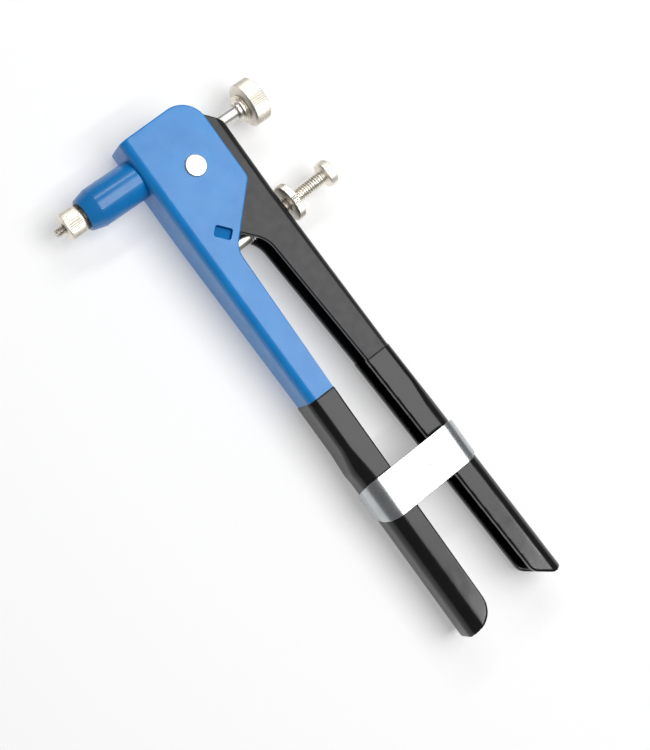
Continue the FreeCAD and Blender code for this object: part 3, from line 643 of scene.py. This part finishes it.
def lock_nut():
    """Thin round nut with a knurled rim."""
    front, back, radius, bore = 3.5, 7.5, 9.15, 3.58
    corners = [
        (front, bore + 0.5), (front, radius - 0.6), (front + 0.5, radius), (back - 0.5, radius),
        (back, radius - 0.6), (back, bore + 0.5), (back - 0.5, bore), (front + 0.5, bore),
    ]
    spun("nut_knurled", "lock_nut", rounded(corners, 0.18), SCREW_AXIS, 264,
         knurl(66, 0.22, front + 0.15, back - 0.15, radius - 0.5, 0.5), sharp=KNURL_SHARP)


# The nut's middle lies 5.5 mm out from the web along the screw's axis.
SCREW_AXIS = screw_place("lock_nut", 5.5)

nosepiece()
mandrel()
barrel()
rivet()
draw_rod()
draw_knob()
knob_collar()
stop_screw()
lock_nut()

# ---------------------------------------------------------------- pressed handles, grips, clip

GRIP_START = limits("fixed_grip")[0].y
SLOT = centre("stop_bar")


def bare(middle):
    """Shares of a handle's edge rounding: none under the grips."""
    return 0.0 if middle.y > GRIP_START + 2.0 else 1.0


def slotted(middle):
    """The same for the fixed handle, where the stop bar's hole gets a small share."""
    return 0.3 if (middle - SLOT).to_2d().length < 6.5 else bare(middle)


CLIP_LOW, CLIP_HIGH = limits("handle_clip")


def outline(middle):
    """Shares of the clip's edge rounding: none round the dimple in its top."""
    beside = abs(middle.y - (CLIP_LOW.y + CLIP_HIGH.y) / 2)
    return 0.0 if middle.z > CLIP_HIGH.z - 1.5 and beside < 8.0 else 1.0


softened("shell_fixed", "fixed_channel", 0.85, 4, finer=slotted)
softened("shell_moving", "moving_channel", 0.6, finer=bare)
# The bar's darker blue is painted shade for its recessed end.
softened("bar_square", "stop_bar", 0.35, material=DULL_SHADED_BLUE)
dipped("dip_fixed", "fixed_grip", "fixed_channel", 0.45, 8)
dipped("dip_moving", "moving_grip", "moving_channel", 0.45, 8)
softened("clip_sprung", "handle_clip", 0.25, finer=outline)

# ---------------------------------------------------------------- inner pieces kept from the CAD

replaced = {node for piece in bpy.data.objects for node in piece.get("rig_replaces", [])}
for node, piece in nodes.items():
    if node not in replaced:
        piece.data.materials.clear()
        piece.data.materials.append(MATERIALS[SLOTS[node]])

# ---------------------------------------------------------------- floor, lights and camera

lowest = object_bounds()[0]


def floor():
    """A plain pale sheet just under the tool, which glows a little like a light table."""
    half, gap, albedo, glow = 3.0, 0.0002, 0.66, 0.34    # metres, then shares of white
    mesh = bpy.data.meshes.new("floor")
    height = lowest.z - gap
    corners = [(-half, -half, height), (half, -half, height),
               (half, half, height), (-half, half, height)]
    mesh.from_pydata(corners, [], [range(4)])
    n = Nodes("light_table")
    mesh.materials.append(n.finish((albedo, albedo, albedo, 1), 0.9, Emission_Strength=glow))
    n.shader.inputs["Emission Color"].default_value = (1, 1, 1, 1)
    sheet = bpy.data.objects.new("floor", mesh)
    bpy.context.scene.collection.objects.link(sheet)


def area_light(name, direction, distance, size, radiance):
    """A soft rectangle of light that faces the tool; size is along x and the other way."""
    data = bpy.data.lights.new(name, "AREA")
    data.shape = "RECTANGLE"
    data.size, data.size_y = size
    data.energy = radiance * math.pi * size[0] * size[1]
    light = bpy.data.objects.new(name, data)
    back = direction.normalized()
    along = Vector((1, 0, 0))
    side = (along - back * along.dot(back)).normalized()
    up = back.cross(side)
    light.matrix_world = Matrix.Translation(VIEW_TARGET + back * distance) @ Matrix(
        (side, up, back)).transposed().to_4x4()
    bpy.context.scene.collection.objects.link(light)


# Where the camera's line of sight goes after a flat face has mirrored it.
MIRROR = Vector((-VIEW_FROM.x, -VIEW_FROM.y, VIEW_FROM.z))
TOWARDS_HEAD = Vector((0, -0.065, 0))


def in_cross_plane(degrees):
    """The mirrored view turned about the nose, so a strip there shows along the barrel."""
    return Vector((MIRROR.x, math.sin(math.radians(degrees)), math.cos(math.radians(degrees))))


floor()
area_light("overhead", MIRROR + TOWARDS_HEAD, 1.25, (0.95, 0.72), 4.4)
area_light("strip_left", in_cross_plane(-42), 1.2, (0.8, 0.12), 10.0)
area_light("strip_right", in_cross_plane(24), 1.2, (0.8, 0.10), 12.0)

# The studio: paler near the horizon, even and dim from 0.28 of the way up.
SKY = (
    (0.0, (0.24, 0.27, 0.30, 1)), (0.12, (0.22, 0.25, 0.28, 1)),
    (0.28, (0.20, 0.20, 0.20, 1)), (1.0, (0.20, 0.20, 0.20, 1)),
)
world = bpy.data.worlds.new("studio")
world.use_nodes = True
sky = world.node_tree
direction = sky.nodes.new("ShaderNodeTexCoord")
split = sky.nodes.new("ShaderNodeSeparateXYZ")
ramp = sky.nodes.new("ShaderNodeValToRGB")
sky.links.new(direction.outputs["Generated"], split.inputs[0])
sky.links.new(split.outputs["Z"], ramp.inputs["Fac"])
sky.links.new(ramp.outputs["Color"], sky.nodes["Background"].inputs["Color"])
for at, _ in SKY[1:-1]:
    ramp.color_ramp.elements.new(at)
for stop, (at, colour) in zip(ramp.color_ramp.elements, SKY):
    stop.position, stop.color = at, colour
bpy.context.scene.world = world

camera_data = bpy.data.cameras.new("camera")
camera_data.lens = LENS
camera = bpy.data.objects.new("camera", camera_data)
view_up = VIEW_FROM.cross(VIEW_RIGHT)
camera.matrix_world = Matrix.Translation(VIEW_TARGET + VIEW_FROM * VIEW_DISTANCE) @ Matrix(
    (VIEW_RIGHT, view_up, VIEW_FROM)).transposed().to_4x4()
bpy.context.scene.collection.objects.link(camera)
bpy.context.scene.camera = camera
bpy.context.scene.view_settings.view_transform = "Standard"

bpy.context.view_layer.update()
